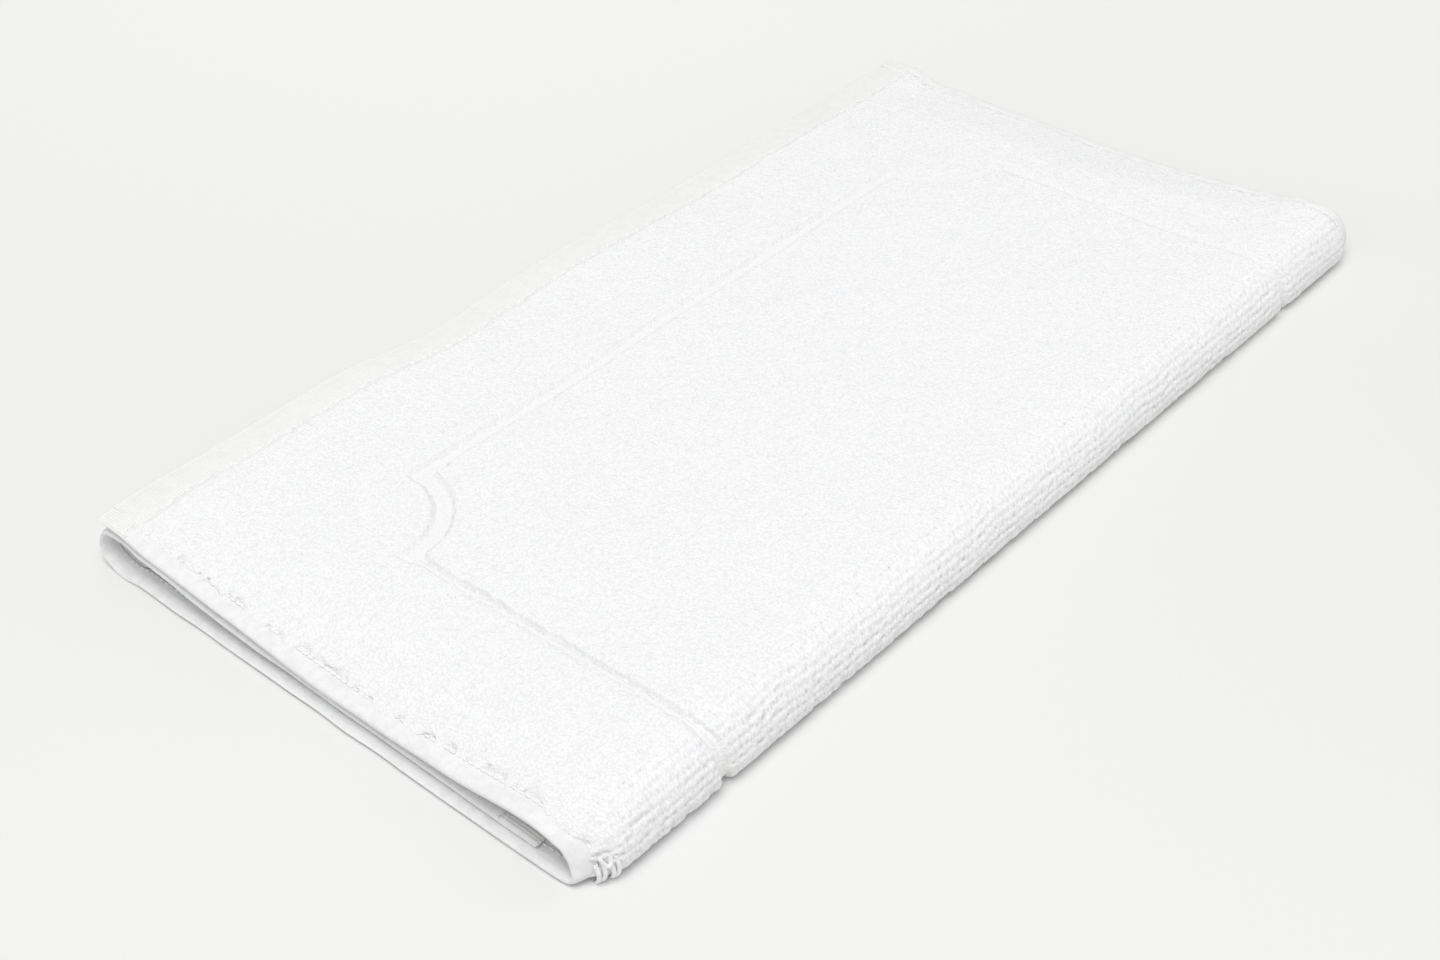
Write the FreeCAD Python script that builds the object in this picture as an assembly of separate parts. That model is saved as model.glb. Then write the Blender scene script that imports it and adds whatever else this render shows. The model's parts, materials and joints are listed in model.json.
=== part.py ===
import FreeCAD, Part

import math
import os

# A cotton terry bath mat, folded in thirds like a letter and lying flat.
# Millimetres. +X points to the front fold, +Y along the folds, +Z up. The origin is the bottom
# centre of the folded mat. "Left" is the -Y side and "right" the +Y side, as seen from the front.
#
# The mat is one woven cloth. From its free end it runs: flap (top layer), front fold, bottom
# layer, rear fold, inner layer. Each stretch is cut here into its woven ground, the terry pile on
# its face and on its back, its hems and its hem seams. The pile's face is outward all the way.

# Driving dimensions
MAT_WIDTH = 500.0           # across the mat, along Y
MAT_LENGTH = 778.0          # along the mat, measured on the ground cloth's mid-surface
FOLDED_DEPTH = 269.0        # along X, from the flap's end to the front fold

GROUND = 1.4                # woven ground cloth
PILE = 3.0                  # terry loops on each face
LAYER_GAP = 0.3             # between two layers that lie on each other

SIDE_HEM_WIDTH = 9.0
SIDE_HEM_THICK = 3.6        # the cloth's edge turned twice
END_HEM_WIDTH = 18.0
END_HEM_THICK = 2.8         # turned once, with no pile on it

FRAME_FROM_SIDE = 64.0      # centre of the sculpted groove, from the mat's long side
FRAME_FROM_END = 78.0       # and from the mat's short end
FRAME_NOTCH = 35.0          # radius of the concave quarter circle at each corner of the frame
FRAME_GROOVE = 5.0          # width of the groove

SEAM_WIDTH = 0.8            # a line of lockstitch
SEAM_PROUD = 0.4
SEAM_INSET = 1.5            # from the hem's inner edge to the seam's near side

FOLD_LEG = 0.3              # straight stretch at each end of a fold, so that the layers clear it

# Worked out from the driving dimensions
HALF_WIDTH = MAT_WIDTH / 2
PILE_HALF_WIDTH = HALF_WIDTH - SIDE_HEM_WIDTH
LAYER = GROUND + 2 * PILE
PITCH = LAYER + LAYER_GAP

BOTTOM_Z = LAYER / 2                        # mid-surface of the ground cloth in each layer
INNER_Z = BOTTOM_Z + PITCH
FLAP_Z = INNER_Z + PITCH

FRONT_MID_RADIUS = (FLAP_Z - BOTTOM_Z) / 2
REAR_MID_RADIUS = (INNER_Z - BOTTOM_Z) / 2
FLAP_END_X = -FOLDED_DEPTH / 2
FRONT_FOLD_X = FOLDED_DEPTH / 2 - FRONT_MID_RADIUS - LAYER / 2
FRONT_FOLD_Z = BOTTOM_Z + FRONT_MID_RADIUS
REAR_FOLD_SETBACK = 0.5                     # the flap's end hides the rear fold by this much
REAR_FOLD_X = FLAP_END_X + REAR_FOLD_SETBACK + REAR_MID_RADIUS + LAYER / 2
REAR_FOLD_Z = BOTTOM_Z + REAR_MID_RADIUS

FLAP_LENGTH = FRONT_FOLD_X - FLAP_END_X
BOTTOM_LENGTH = FRONT_FOLD_X - REAR_FOLD_X
FOLDS_LENGTH = math.pi * (FRONT_MID_RADIUS + REAR_MID_RADIUS)
INNER_LENGTH = MAT_LENGTH - FLAP_LENGTH - BOTTOM_LENGTH - FOLDS_LENGTH
INNER_END_X = REAR_FOLD_X + INNER_LENGTH

FRAME_HALF_WIDTH = HALF_WIDTH - FRAME_FROM_SIDE


def block(x, y, z):
    """A box from three (low, high) pairs."""
    size = (x[1] - x[0], y[1] - y[0], z[1] - z[0])
    return Part.makeBox(*size, FreeCAD.Vector(x[0], y[0], z[0]))


class Layer:
    """A flat stretch of cloth. face is +1 where its face looks up, and -1 where it looks down."""

    def __init__(self, x, mid_z, face):
        self.x, self.mid_z, self.face = sorted(x), mid_z, face

    def between(self, *x):
        """The same layer over another span of X."""
        return Layer(x, self.mid_z, self.face)

    def slab(self, y, low, high):
        """A slab over y, from low to high above the mid-surface, counted towards the face."""
        z = sorted((self.mid_z + self.face * low, self.mid_z + self.face * high))
        return block(self.x, y, z)


class Fold:
    """A half turn of cloth about an axis along Y. side is +1 where it bulges to +X, -1 to -X."""

    def __init__(self, x, z, mid_radius, side):
        self.x, self.z, self.mid_radius, self.side = x, z, mid_radius, side

    def slab(self, y, low, high):
        """A half ring over y, from low to high outward of the mid-surface, with short legs."""
        outer = self.mid_radius + high
        inner = self.mid_radius + low
        at = FreeCAD.Vector(self.x, y[0], self.z)
        length = y[1] - y[0]
        along = FreeCAD.Vector(0, 1, 0)
        ring = Part.makeCylinder(outer, length, at, along).cut(Part.makeCylinder(inner, length, at, along))
        bulge = sorted((self.x, self.x + self.side * 2 * outer))
        half = ring.common(block(bulge, y, (self.z - 2 * outer, self.z + 2 * outer)))
        leg_x = sorted((self.x, self.x - self.side * FOLD_LEG))
        legs = [block(leg_x, y, (self.z + inner, self.z + outer)),
                block(leg_x, y, (self.z - outer, self.z - inner))]
        return half.fuse(legs).removeSplitter()


# The five stretches, from the mat's free end on top to its free end inside.
STRETCHES = {
    "flap": Layer((FLAP_END_X, FRONT_FOLD_X - FOLD_LEG), FLAP_Z, +1),
    "front_fold": Fold(FRONT_FOLD_X, FRONT_FOLD_Z, FRONT_MID_RADIUS, +1),
    "bottom": Layer((REAR_FOLD_X + FOLD_LEG, FRONT_FOLD_X - FOLD_LEG), BOTTOM_Z, -1),
    "rear_fold": Fold(REAR_FOLD_X, REAR_FOLD_Z, REAR_MID_RADIUS, -1),
    "inner": Layer((REAR_FOLD_X + FOLD_LEG, INNER_END_X), INNER_Z, +1),
}
# Where the mat ends, in the two stretches that hold an end, and where each of them meets its fold.
MAT_ENDS = {
    "flap": (FLAP_END_X, FRONT_FOLD_X - FOLD_LEG),
    "inner": (INNER_END_X, REAR_FOLD_X + FOLD_LEG),
}

FULL_WIDTH = (-HALF_WIDTH, HALF_WIDTH)
TERRY_WIDTH = (-PILE_HALF_WIDTH, PILE_HALF_WIDTH)
FACE_PILE = (GROUND / 2, GROUND / 2 + PILE)
BACK_PILE = (-GROUND / 2 - PILE, -GROUND / 2)


def on_both_sides(make, low, high):
    """make((low, high)) in Y and its mirror image."""
    return [make((low, high)), make((-high, -low))]


def frame_opening(corner_x, fold_x, z, offset):
    """The space inside the sculpted frame at one end of the mat, drawn in by offset."""
    inward = math.copysign(1, fold_x - corner_x)
    half = FRAME_HALF_WIDTH - offset
    opening = block(sorted((corner_x + inward * offset, fold_x)), (-half, half), z)
    for side in (-1, 1):
        corner = FreeCAD.Vector(corner_x, side * FRAME_HALF_WIDTH, z[0])
        opening = opening.cut(Part.makeCylinder(FRAME_NOTCH + offset, z[1] - z[0], corner))
    return opening


def framed_face_pile(terry, end_x, fold_x):
    """The field inside the frame and the border round it, where the mat ends."""
    corner_x = end_x + math.copysign(FRAME_FROM_END, fold_x - end_x)
    z = [terry.mid_z + height for height in FACE_PILE]
    field = frame_opening(corner_x, fold_x, z, FRAME_GROOVE / 2)
    hole = frame_opening(corner_x, fold_x, z, -FRAME_GROOVE / 2)
    return field, terry.slab(TERRY_WIDTH, *FACE_PILE).cut(hole)


def striped_face_pile(stretch):
    """The field and the two border strips, where the groove only runs along the mat."""
    field_half = FRAME_HALF_WIDTH - FRAME_GROOVE / 2
    border_from = FRAME_HALF_WIDTH + FRAME_GROOVE / 2
    field = stretch.slab((-field_half, field_half), *FACE_PILE)
    strips = on_both_sides(lambda y: stretch.slab(y, *FACE_PILE), border_from, PILE_HALF_WIDTH)
    return field, Part.makeCompound(strips)


def seam_faces(hem_thick):
    """The heights of the stitches on a hem's face and on its back."""
    top = hem_thick / 2
    return [(top, top + SEAM_PROUD), (-top - SEAM_PROUD, -top)]


def side_seams(stretch):
    """A line of stitches on the face and on the back of both side hems."""
    near = PILE_HALF_WIDTH + SEAM_INSET
    lines = []
    for low, high in seam_faces(SIDE_HEM_THICK):
        lines += on_both_sides(lambda y: stretch.slab(y, low, high), near, near + SEAM_WIDTH)
    return Part.makeCompound(lines)


def hemmed_end(stretch, end_x, fold_x):
    """The end hem, which runs over the ends of the side hems, and its two lines of stitches."""
    inward = math.copysign(1, fold_x - end_x)
    hem = stretch.between(end_x, end_x + inward * END_HEM_WIDTH)
    near = end_x + inward * (END_HEM_WIDTH - SEAM_INSET)
    seam = stretch.between(near, near - inward * SEAM_WIDTH)
    lines = [seam.slab(FULL_WIDTH, low, high) for low, high in seam_faces(END_HEM_THICK)]
    return {
        "end_hem": hem.slab(FULL_WIDTH, -END_HEM_THICK / 2, END_HEM_THICK / 2),
        "end_seam": Part.makeCompound(lines),
    }


def pieces_of(name, stretch):
    """Every sub-part of one stretch of the mat, by node name."""
    if name in MAT_ENDS:
        end_x, fold_x = MAT_ENDS[name]
        terry = stretch.between(end_x + math.copysign(END_HEM_WIDTH, fold_x - end_x), fold_x)
        field, border = framed_face_pile(terry, end_x, fold_x)
        end_pieces = hemmed_end(stretch, end_x, fold_x)
    else:
        terry = stretch
        field, border = striped_face_pile(stretch)
        end_pieces = {}
    hem = (-SIDE_HEM_THICK / 2, SIDE_HEM_THICK / 2)
    pieces = {
        "ground_cloth": terry.slab(TERRY_WIDTH, -GROUND / 2, GROUND / 2),
        "field_pile": field,
        "border_pile": border,
        "back_pile": terry.slab(TERRY_WIDTH, *BACK_PILE),
        "left_side_hem": terry.slab((-HALF_WIDTH, -PILE_HALF_WIDTH), *hem),
        "right_side_hem": terry.slab((PILE_HALF_WIDTH, HALF_WIDTH), *hem),
        "side_seams": side_seams(terry),
        **end_pieces,
    }
    return {f"{name}_{piece}": shape for piece, shape in pieces.items()}


def main():
    os.makedirs("parts", exist_ok=True)
    print(f"inner layer ends at x = {INNER_END_X:.1f}")
    for name, stretch in STRETCHES.items():
        for node, shape in pieces_of(name, stretch).items():
            if not shape.isValid():
                raise ValueError(f"{node} is not a valid solid")
            shape.exportStep(f"parts/{node}.step")
            print(f"{node}: {len(shape.Solids)} solid(s), {shape.Volume / 1000:.2f} cm3")


main()
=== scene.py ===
"""A white cotton terry bath mat, folded in thirds like a letter, on a pale floor.

Lengths are in millimetres until a mesh is made. A point of the mat is given by s, the distance
along the cloth from the flap's free end, through both folds, to the inner layer's free end; by y,
across the mat; and by h, the height above the middle of the ground cloth towards the mat's face.
"""

import json
import math

import bpy
import numpy as np
from mathutils import Matrix, Vector


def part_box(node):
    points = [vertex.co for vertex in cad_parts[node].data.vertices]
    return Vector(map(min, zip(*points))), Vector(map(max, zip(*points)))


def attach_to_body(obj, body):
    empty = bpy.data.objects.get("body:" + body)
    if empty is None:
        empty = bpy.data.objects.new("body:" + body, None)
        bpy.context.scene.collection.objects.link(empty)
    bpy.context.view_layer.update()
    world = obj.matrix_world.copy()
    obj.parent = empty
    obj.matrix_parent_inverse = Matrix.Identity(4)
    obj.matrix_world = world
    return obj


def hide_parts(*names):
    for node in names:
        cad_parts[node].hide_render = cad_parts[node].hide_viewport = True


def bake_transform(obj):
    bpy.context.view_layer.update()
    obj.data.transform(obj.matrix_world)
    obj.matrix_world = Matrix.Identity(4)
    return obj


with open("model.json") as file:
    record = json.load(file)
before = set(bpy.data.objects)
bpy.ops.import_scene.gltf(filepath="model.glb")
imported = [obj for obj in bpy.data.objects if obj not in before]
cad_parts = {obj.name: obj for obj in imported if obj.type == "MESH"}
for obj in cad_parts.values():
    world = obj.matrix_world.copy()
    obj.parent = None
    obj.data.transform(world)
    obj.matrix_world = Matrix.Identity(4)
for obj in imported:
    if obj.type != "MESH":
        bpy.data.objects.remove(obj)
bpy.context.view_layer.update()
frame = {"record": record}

MM = 0.001


# ---------------------------------------------------------------- sizes from the frame

def cad_box(node):
    """A CAD node's lowest and highest corners, in millimetres."""
    low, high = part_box(node)
    return Vector(low) / MM, Vector(high) / MM


def middle_z(node):
    low, high = cad_box(node)
    return (low.z + high.z) / 2


FLAP_Z = middle_z("flap_ground_cloth")
INNER_Z = middle_z("inner_ground_cloth")
BOTTOM_Z = middle_z("bottom_ground_cloth")

END_HEM_LOW, END_HEM_HIGH = cad_box("flap_end_hem")
FLAP_CLOTH_LOW, FLAP_CLOTH_HIGH = cad_box("flap_ground_cloth")
FLAP_FIELD_LOW, FLAP_FIELD_HIGH = cad_box("flap_field_pile")

FLAP_END_X = END_HEM_LOW.x
INNER_END_X = cad_box("inner_end_hem")[1].x
HALF_WIDTH = END_HEM_HIGH.y
TERRY_HALF = FLAP_CLOTH_HIGH.y
END_HEM = END_HEM_HIGH.x - END_HEM_LOW.x
END_HEM_THICK = END_HEM_HIGH.z - END_HEM_LOW.z
GROUND = FLAP_CLOTH_HIGH.z - FLAP_CLOTH_LOW.z
PILE = FLAP_FIELD_HIGH.z - FLAP_FIELD_LOW.z

JOINT = frame["record"]["behaviour"]["joints"][0]
FRONT_X = JOINT["pos_m"][0] / MM
FRONT_Z = JOINT["pos_m"][2] / MM
FRONT_RADIUS = (FLAP_Z - BOTTOM_Z) / 2
REAR_RADIUS = (INNER_Z - BOTTOM_Z) / 2
REAR_X = cad_box("rear_fold_ground_cloth")[0].x + REAR_RADIUS + GROUND / 2
REAR_Z = (INNER_Z + BOTTOM_Z) / 2
FOLD_LEG = FRONT_X - FLAP_CLOTH_HIGH.x

# Distances along the cloth at which the folds start and end
FRONT_START = FRONT_X - FLAP_END_X
FRONT_END = FRONT_START + math.pi * FRONT_RADIUS
REAR_START = FRONT_END + FRONT_X - REAR_X
REAR_END = REAR_START + math.pi * REAR_RADIUS
MAT_LENGTH = REAR_END + INNER_END_X - REAR_X

STRETCHES = {
    "flap": (0, FRONT_START - FOLD_LEG),
    "front_fold": (FRONT_START - FOLD_LEG, FRONT_END + FOLD_LEG),
    "bottom": (FRONT_END + FOLD_LEG, REAR_START - FOLD_LEG),
    "rear_fold": (REAR_START - FOLD_LEG, REAR_END + FOLD_LEG),
    "inner": (REAR_END + FOLD_LEG, MAT_LENGTH),
}

# The sculpted frame, as in the CAD
GROOVE = 5.0
NOTCH = 35.0
FRAME_HALF = FLAP_FIELD_HIGH.y + GROOVE / 2
FRAME_FROM_END = FLAP_FIELD_LOW.x - GROOVE / 2 - FLAP_END_X


# ---------------------------------------------------------------- how the cloth lies

def flap_at(x):
    return x - FLAP_END_X


def front_at(degrees):
    """A place in the front fold: 0 where it leaves the flap, 180 where it reaches the bottom."""
    return FRONT_START + math.radians(degrees) * FRONT_RADIUS


def bottom_at(x):
    return FRONT_END + FRONT_X - x


def rear_at(degrees):
    """A place in the rear fold: 0 where it leaves the bottom, 180 where it reaches the inner layer."""
    return REAR_START + math.radians(degrees) * REAR_RADIUS


def inner_at(x):
    return REAR_END + x - REAR_X


# How far the mat's left edge has settled from the flat stack: (s, along x, up, outward, how far in
# from the edge the settling reaches, the right edge's share of it). The layers press together in
# the middle of their length, and open into a loose loop at each fold.
EDGE_SHIFT = [
    (flap_at(-134), 0, 1.2, 0, 45, 0.4),
    (flap_at(-120), 0, 0.9, 0, 45, 0.4),
    (flap_at(-104), 0, -1.9, 0, 45, 1.7),
    (flap_at(-88), 0, -3.0, 0, 45, 1.45),
    (flap_at(-60), 0, -5.3, 0, 45, 1.12),
    (flap_at(-25), 0, -7.4, 0, 45, 0.95),
    (flap_at(10), 0, -8.2, 0, 45, 0.9),
    (flap_at(50), 0, -7.5, 0, 42, 0.8),
    (flap_at(80), 0, -5.2, 0, 38, 0.8),
    (flap_at(98), 0, -2.9, 0, 34, 0.7),
    (flap_at(112), -0.6, -2.9, 0, 28, 0),
    (front_at(0), -2.3, -5.0, 0, 21, 0),
    (front_at(45), -4.6, -5.6, 0, 17, 0.1),
    (front_at(90), -4.6, -3.8, 0.5, 16, 0.2),
    (front_at(135), -1.2, -2.6, 1.5, 17, 0.4),
    (front_at(180), 0, -2.4, 2.2, 26, 1),
    (bottom_at(100), 0, -2.4, 2.5, 40, 1),
    (bottom_at(70), 0, -2.4, 2.5, 45, 1),
    (bottom_at(-80), 0, -2.4, 2.5, 45, 1),
    (bottom_at(-110), -1.0, -2.4, 2.5, 42, 1),
    (rear_at(0), -3.2, -2.4, 2.4, 40, 0.8),
    (rear_at(45), -6.4, -1.2, 1.8, 38, 0.7),
    (rear_at(90), -7.0, 1.0, 1.0, 38, 0.6),
    (rear_at(135), -5.2, 3.9, 0.3, 40, 0.6),
    (rear_at(180), -2.0, 4.2, 0, 42, 0.6),
    (inner_at(-110), -0.4, 2.6, 0, 45, 0.7),
    (inner_at(-92), 0, 1.0, 0, 45, 0.9),
    (inner_at(-75), 0, -1.2, 0, 45, 1),
    (inner_at(-40), 0, -4.4, -0.6, 45, 1),
    (inner_at(0), 0, -5.9, -1.2, 45, 1),
    (inner_at(50), 0, -6.9, -1.2, 45, 1),
    (inner_at(108), 0, -7.2, -1.2, 45, 1),
]
# How far the front fold has slumped from a half circle, away from the mat's edges: (s, x, up)
FOLD_SLUMP = [
    (flap_at(90), 0, 0),
    (front_at(0), 0.3, -0.2),
    (front_at(30), 0.9, -0.7),
    (front_at(60), 1.7, -1.3),
    (front_at(90), 2.9, -2.0),
    (front_at(120), 4.2, -2.3),
    (front_at(150), 3.4, -1.3),
    (front_at(180), 0, -0.1),
    (bottom_at(95), 0, 0),
]
PUFF = 0.9                  # the folded mat stands this much higher where the layers lie loosest
FREE_END = [                # the flap's free end wavers: place across the mat, and how far outward
    (-250, 1.5), (-225, 4.5), (-195, 5.6), (-145, 6.0), (-120, 5.0), (-104, 1.9), (-73, -1.2),
    (-48, 1.2), (-15, 2.8), (25, 2.2), (60, 0.9), (120, 0), (250, 0.3),
]
WAVER_REACH = 70.0          # this fades out as far as this along the flap
SWELLS = [                  # long low swells in the stack: height, wavelength, direction, phase
    (0.45, 210, 20, 0.5),
    (0.35, 130, 75, 2.1),
    (0.22, 74, -40, 4.0),
]


def curve_through(place, value, at):
    """A smooth curve through the given values: cubic between them, flat beyond the ends."""
    place, value = np.asarray(place, float), np.asarray(value, float)
    slope = np.gradient(value, place)
    i = np.clip(np.searchsorted(place, at) - 1, 0, len(place) - 2)
    width = place[i + 1] - place[i]
    t = np.clip((at - place[i]) / width, 0, 1)
    return (
        value[i] * (1 + 2 * t) * (1 - t) ** 2
        + value[i + 1] * t * t * (3 - 2 * t)
        + slope[i] * width * t * (1 - t) ** 2
        - slope[i + 1] * width * t * t * (1 - t)
    )


def smooth(t):
    """A smooth step from 0 to 1."""
    t = np.clip(t, 0, 1)
    return t * t * (3 - 2 * t)


def flat_stack(s):
    """x and z of the cloth's middle when the mat lies as the CAD has it."""
    turn = np.interp(s, (FRONT_START, FRONT_END, REAR_START, REAR_END), (0, math.pi, math.pi, 2 * math.pi))
    at_front = s < (FRONT_END + REAR_START) / 2
    radius = np.where(at_front, FRONT_RADIUS, REAR_RADIUS)
    straight = np.where(
        at_front,
        np.minimum(s - FRONT_START, 0) - np.maximum(s - FRONT_END, 0),
        np.maximum(REAR_START - s, 0) + np.maximum(s - REAR_END, 0),
    )
    x = np.where(at_front, FRONT_X, REAR_X) + radius * np.sin(turn) + straight
    z = np.where(at_front, FRONT_Z, REAR_Z) + radius * np.cos(turn)
    return x, z


EDGE_S, EDGE_X, EDGE_UP, EDGE_OUT, EDGE_REACH, EDGE_FAR = np.array(EDGE_SHIFT, float).T


def settled(s, y):
    """How much of the edge's settling a point takes part in: 1 at the left edge."""
    reach = curve_through(EDGE_S, EDGE_REACH, s)
    share = np.where(y < 0, 1.0, curve_through(EDGE_S, EDGE_FAR, s))
    return share * smooth(1 - (HALF_WIDTH - np.abs(y)) / reach)


def swell(x, y):
    """Long low swells, and the looser right half."""
    height = PUFF * smooth((y + 120) / 300)
    for size, wave, turn, phase in SWELLS:
        turn = math.radians(turn)
        along = x * math.cos(turn) + y * math.sin(turn)
        height = height + size * np.sin(2 * math.pi * along / wave + phase)
    return height


def cloth_middle(s, y):
    """x and z of the cloth's middle, once the mat has settled."""
    x, z = flat_stack(s)
    part = settled(s, y)
    up_the_stack = smooth((z - BOTTOM_Z) / (FLAP_Z - BOTTOM_Z))
    z = z + swell(x, y) * up_the_stack + part * curve_through(EDGE_S, EDGE_UP, s)
    outward = curve_through(*np.array(FREE_END, float).T, y) * smooth(1 - s / WAVER_REACH)
    x = x + part * curve_through(EDGE_S, EDGE_X, s) - outward
    slump_s, slump_x, slump_up = np.array(FOLD_SLUMP, float).T
    x = x + (1 - part) * curve_through(slump_s, slump_x, s)
    z = z + (1 - part) * curve_through(slump_s, slump_up, s)
    return x, z


STEP = 0.25                 # half the span over which the cloth's direction is measured
FLOOR_GAP = 0.02            # what lies on the floor is pressed flat against it


def place(s, y, h):
    """The points at s, y and h, as an array of x, y and z."""
    s, y, h = np.broadcast_arrays(np.asarray(s, float), np.asarray(y, float), np.asarray(h, float))
    x, z = cloth_middle(s, y)
    x0, z0 = cloth_middle(s - STEP, y)
    x1, z1 = cloth_middle(s + STEP, y)
    length = np.hypot(x1 - x0, z1 - z0)
    out = np.sign(y) * settled(s, y) * curve_through(EDGE_S, EDGE_OUT, s)
    up = np.maximum(z + h * (x1 - x0) / length, FLOOR_GAP)
    return np.stack((x - h * (z1 - z0) / length, y + out, up), axis=-1)


# ---------------------------------------------------------------- terry pile

LOOP_ROW = 1.7              # between rows of loops, along the mat
LOOP_PITCH = 1.5            # between loops in a row
LOOP_RADIUS = 1.2
PILE_FLOOR = 0.70           # shares of the pile's height: what lies between the loops,
LOOP_SHARE = 0.26           # the loops above that,
CLUMP_SHARE = 0.10          # and the difference between high and low clumps of loops
CLUMP = 7.0                 # size of a clump
FOLD_WIDENS = 0.2           # the share by which the rows stand further apart round the front fold
FOLD_LOOPS = 0.65           # the loops there stand this much further out of the gaps between the rows,
FOLD_GAPS = 0.4             # where a gap is a place that reaches less than this share of a loop
SHAGGY = 2.6                # how unevenly they end where the fold meets the floor
TUFT = 2.7                  # size of a tuft there
LAYER_AIR = 0.25            # kept clear between the piles of two layers
GROOVE_FLOOR = 0.35         # what is left of the pile in the groove
GROOVE_WALL = 2.2           # the pile rounds over towards the groove within this distance
NOTCH_WIDER = 1.6           # the groove opens by this much on each side round a notch,
NOTCH_REACH = 12            # within this distance of it
SIDE_GROOVE = 1.1           # half the groove's width where the pile has closed over it, and
SIDE_GROOVE_FLOOR = 1.5     # what is left of the pile there, but for
SLIT_FROM = 0.1             # a slit on the field's side of this distance from the groove's middle
SIDE_STRIP = 14             # that is within this distance of the groove's middle,
SIDE_FADE = 10              # sets in over this distance past the notch,
FOLD_OPENS = 0.85           # and is undone by this share round the front fold
BANK = 3.6                  # the pile rolls over towards a hem within this distance
BANK_ROLL = math.radians(125)
BANK_FOOT = 0.9             # height at which the rolled edge meets the hem
OVERHANG = (0.6, 5.4)       # how far the rolled edge leans over a side hem: least and most
END_OVERHANG = 0.55         # its share of that over an end hem

RANDOM = np.random.default_rng(7)
CELLS = 512
DICE = RANDOM.random((2, CELLS, CELLS, 4))


def cell_noise(s, y, size, layer):
    """Smooth random numbers from 0 to 1 with features of the given size."""
    u, v = s / size + 31 * layer, y / size + 200
    i, j = np.floor(u).astype(int), np.floor(v).astype(int)
    a, b = smooth(u - i), smooth(v - j)
    table = DICE[layer % 2, :, :, layer % 4]

    def at(di, dj):
        return table[(i + di) % CELLS, (j + dj) % CELLS]

    return (at(0, 0) * (1 - a) + at(1, 0) * a) * (1 - b) + (at(0, 1) * (1 - a) + at(1, 1) * a) * b


def opened(s):
    """How far the rows of loops stand apart: 1 round the front fold, 0 where the cloth lies flat."""
    return smooth((s - FRONT_START + 10) / 18) * smooth((FRONT_END + 8 - s) / 8)


def loop_tops(s, y, side):
    """How high the loops stand, from 0 between them to 1 on the tallest."""
    apart = opened(s) if side == 0 else 0 * s
    waver = 0.9 * (cell_noise(s, y, 14.0, 2) - 0.5)
    widened = FOLD_WIDENS * np.clip(s - FRONT_START + 12, 0, FRONT_END - FRONT_START + 16)
    u, v = (s + waver - widened) / LOOP_ROW, y / LOOP_PITCH + 200
    i, j = np.floor(u).astype(int), np.floor(v).astype(int)
    radius = LOOP_RADIUS * (1 - 0.12 * apart)
    top = np.zeros(np.shape(s))
    for di in (-1, 0, 1):
        for dj in (-1, 0, 1):
            dice = DICE[side, (i + di) % CELLS, (j + dj) % CELLS]
            aside = 0.45 * (1 - 0.5 * apart) * (dice[..., 0] - 0.5)
            du = (u - i - di - 0.5 - aside) * LOOP_ROW * (1 + 0.12 * apart)
            dv = (v - j - dj - 0.5 - 0.7 * (dice[..., 1] - 0.5)) * LOOP_PITCH * (1 - 0.3 * apart)
            round_top = np.sqrt(np.clip(1 - (du * du + dv * dv) / radius ** 2, 0, 1))
            top = np.maximum(top, round_top * (0.62 + 0.38 * dice[..., 2]))
    return top


def inside_frame(s, y):
    """Distance from the sculpted groove's middle: positive in the field, negative in the border."""
    from_end = np.minimum(s, MAT_LENGTH - s)
    straight = np.minimum(FRAME_HALF - np.abs(y), from_end - FRAME_FROM_END)
    notch = np.hypot(from_end - FRAME_FROM_END, np.abs(y) - FRAME_HALF) - NOTCH
    return np.minimum(straight, notch)


def wall(distance, reach):
    """A quarter round, from 0 at the pile's edge to 1 inside it."""
    return np.sqrt(1 - (1 - np.clip(distance / reach, 0, 1)) ** 2)


def room_over(s, y, side):
    """How tall the pile can be before it meets the next layer or the floor."""
    x, z = cloth_middle(s, y)
    flap = cloth_middle(flap_at(x), y)[1]
    inner = cloth_middle(inner_at(x), y)[1]
    bottom = cloth_middle(bottom_at(x), y)[1]
    on_flap, on_inner = s < FRONT_START, s > REAR_END
    on_bottom = (s > FRONT_END) & (s < REAR_START)
    under_flap = (flap - inner - GROUND - LAYER_AIR) / 2
    under_inner = (inner - bottom - GROUND - LAYER_AIR) / 2
    covers = x < INNER_END_X
    if side == 0:
        room = np.where(on_bottom, z - GROUND / 2, np.where(on_inner, under_flap, PILE))
        rear_top = (s > (REAR_START + REAR_END) / 2) & (s <= REAR_END)
        room = np.where(rear_top, (flap - z - GROUND - LAYER_AIR) / 2, room)
    else:
        room = np.where(on_flap & covers, under_flap, PILE)
        room = np.where((on_bottom & covers) | on_inner, under_inner, room)
    return np.clip(room, 0.05, PILE)


def overhang(s, y):
    """How far the ragged edge of the pile leans over a hem."""
    tuft = 0.35 * cell_noise(s, y, 2.4, 1) + 0.3 * cell_noise(s, y, 5.5, 3)
    tuft = tuft + 0.35 * cell_noise(s, y, 13.0, 4)
    return OVERHANG[0] + (OVERHANG[1] - OVERHANG[0]) * smooth(1.9 * tuft - 0.45)


def shagginess(s, y):
    """How far the loops stand in or out in tufts, from -0.5 to 0.5, low on the front fold."""
    return (cell_noise(s, y, TUFT, 5) - 0.5) * smooth((s - front_at(85)) / 8)


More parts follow.
